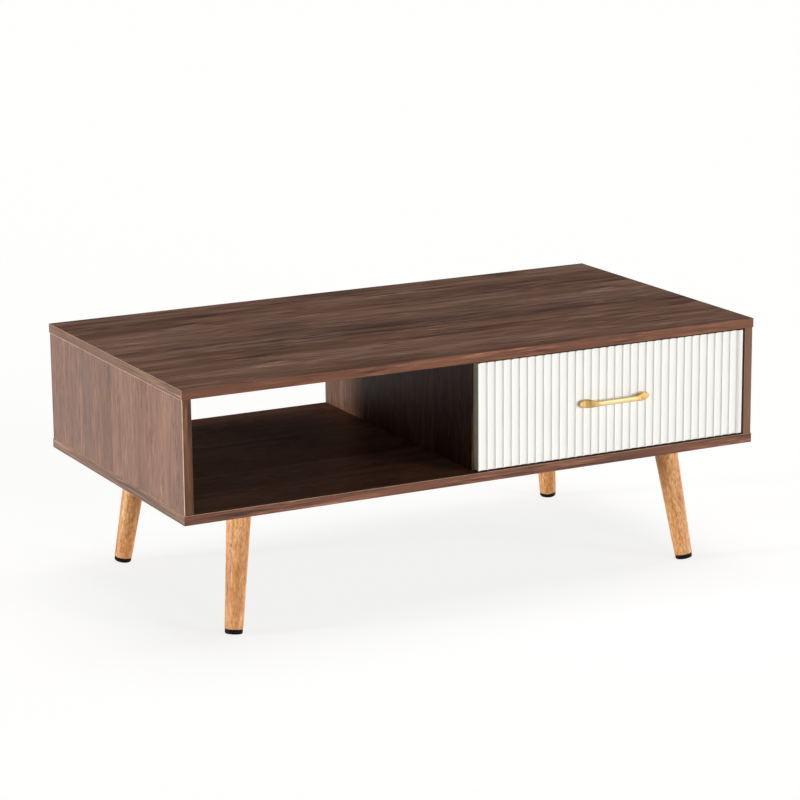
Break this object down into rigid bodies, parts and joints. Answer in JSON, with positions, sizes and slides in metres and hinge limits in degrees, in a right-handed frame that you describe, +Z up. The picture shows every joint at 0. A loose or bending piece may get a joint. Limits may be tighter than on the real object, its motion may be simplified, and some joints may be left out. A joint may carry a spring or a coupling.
{
  "type": "coffee table",
  "caption": "Low rectangular coffee table in walnut-look board with an open compartment, a white fluted drawer on ball slides, a gold bow handle and splayed tapered legs.",
  "frame": {"origin": "on the floor, under the middle of the table's length and of its depth with the handle", "axes": "+X along the table's length, the drawer opens towards -Y, +Z up"},
  "size_m": [1, 0.545, 0.4],
  "materials": {
    "walnut_board": "satin walnut-print melamine",
    "white_front": "matt white foil on fibreboard",
    "leg_wood": "satin lacquered rubber wood",
    "pad_plastic": "moulded black",
    "handle_brass": "brushed gold",
    "zinc_steel": "zinc plated",
    "slide_steel": "zinc plated, rolled",
    "bearing_steel": "polished",
    "cam_zinc": "die cast, plated",
    "dowel_beech": "plain"
  },
  "bodies": {
    "case": {"top_panel": "walnut_board", "bottom_panel": "walnut_board", "left_side_panel": "walnut_board", "right_side_panel": "walnut_board", "divider_panel": "walnut_board", "drawer_bay_back_panel": "walnut_board", "case_dowels": "dowel_beech", "case_cam_bolts": "zinc_steel", "case_cam_nuts": "cam_zinc", "leg_front_left": "leg_wood", "leg_front_right": "leg_wood", "leg_rear_left": "leg_wood", "leg_rear_right": "leg_wood", "leg_plate_front_left": "zinc_steel", "leg_plate_front_right": "zinc_steel", "leg_plate_rear_left": "zinc_steel", "leg_plate_rear_right": "zinc_steel", "foot_pad_front_left": "pad_plastic", "foot_pad_front_right": "pad_plastic", "foot_pad_rear_left": "pad_plastic", "foot_pad_rear_right": "pad_plastic", "leg_bolts": "zinc_steel", "leg_plate_screws": "zinc_steel", "foot_nails": "zinc_steel", "slide_outer_left": "slide_steel", "slide_outer_right": "slide_steel", "slide_outer_screws": "zinc_steel"},
    "drawer": {"drawer_front": "white_front", "drawer_handle": "handle_brass", "handle_screws": "zinc_steel", "drawer_left_side": "walnut_board", "drawer_right_side": "walnut_board", "drawer_back": "walnut_board", "drawer_bottom": "walnut_board", "drawer_cam_bolts": "zinc_steel", "drawer_cam_nuts": "cam_zinc", "drawer_back_screws": "zinc_steel", "drawer_bottom_screws": "zinc_steel", "slide_inner_left": "slide_steel", "slide_inner_right": "slide_steel", "slide_inner_screws": "zinc_steel"},
    "slide_middles": {"slide_middle_left": "slide_steel", "slide_middle_right": "slide_steel"},
    "outer_cages": {"outer_ball_cage_left": "slide_steel", "outer_ball_cage_right": "slide_steel", "outer_slide_balls": "bearing_steel"},
    "inner_cages": {"inner_ball_cage_left": "slide_steel", "inner_ball_cage_right": "slide_steel", "inner_slide_balls": "bearing_steel"}
  },
  "joints": [
    {"name": "drawer_slide", "type": "slide", "parent": "case", "child": "drawer", "axis": [0, -1, 0], "range_m": [0, 0.4]},
    {"name": "middle_channel_slide", "type": "slide", "parent": "case", "child": "slide_middles", "axis": [0, -1, 0], "range_m": [0, 0.2]},
    {"name": "outer_cage_slide", "type": "slide", "parent": "case", "child": "outer_cages", "axis": [0, -1, 0], "range_m": [0, 0.1]},
    {"name": "inner_cage_slide", "type": "slide", "parent": "case", "child": "inner_cages", "axis": [0, -1, 0], "range_m": [0, 0.3]}
  ],
  "couplings": [
    {"joint": "middle_channel_slide", "follows": "drawer_slide", "ratio": 0.5},
    {"joint": "outer_cage_slide", "follows": "drawer_slide", "ratio": 0.25},
    {"joint": "inner_cage_slide", "follows": "drawer_slide", "ratio": 0.75}
  ]
}
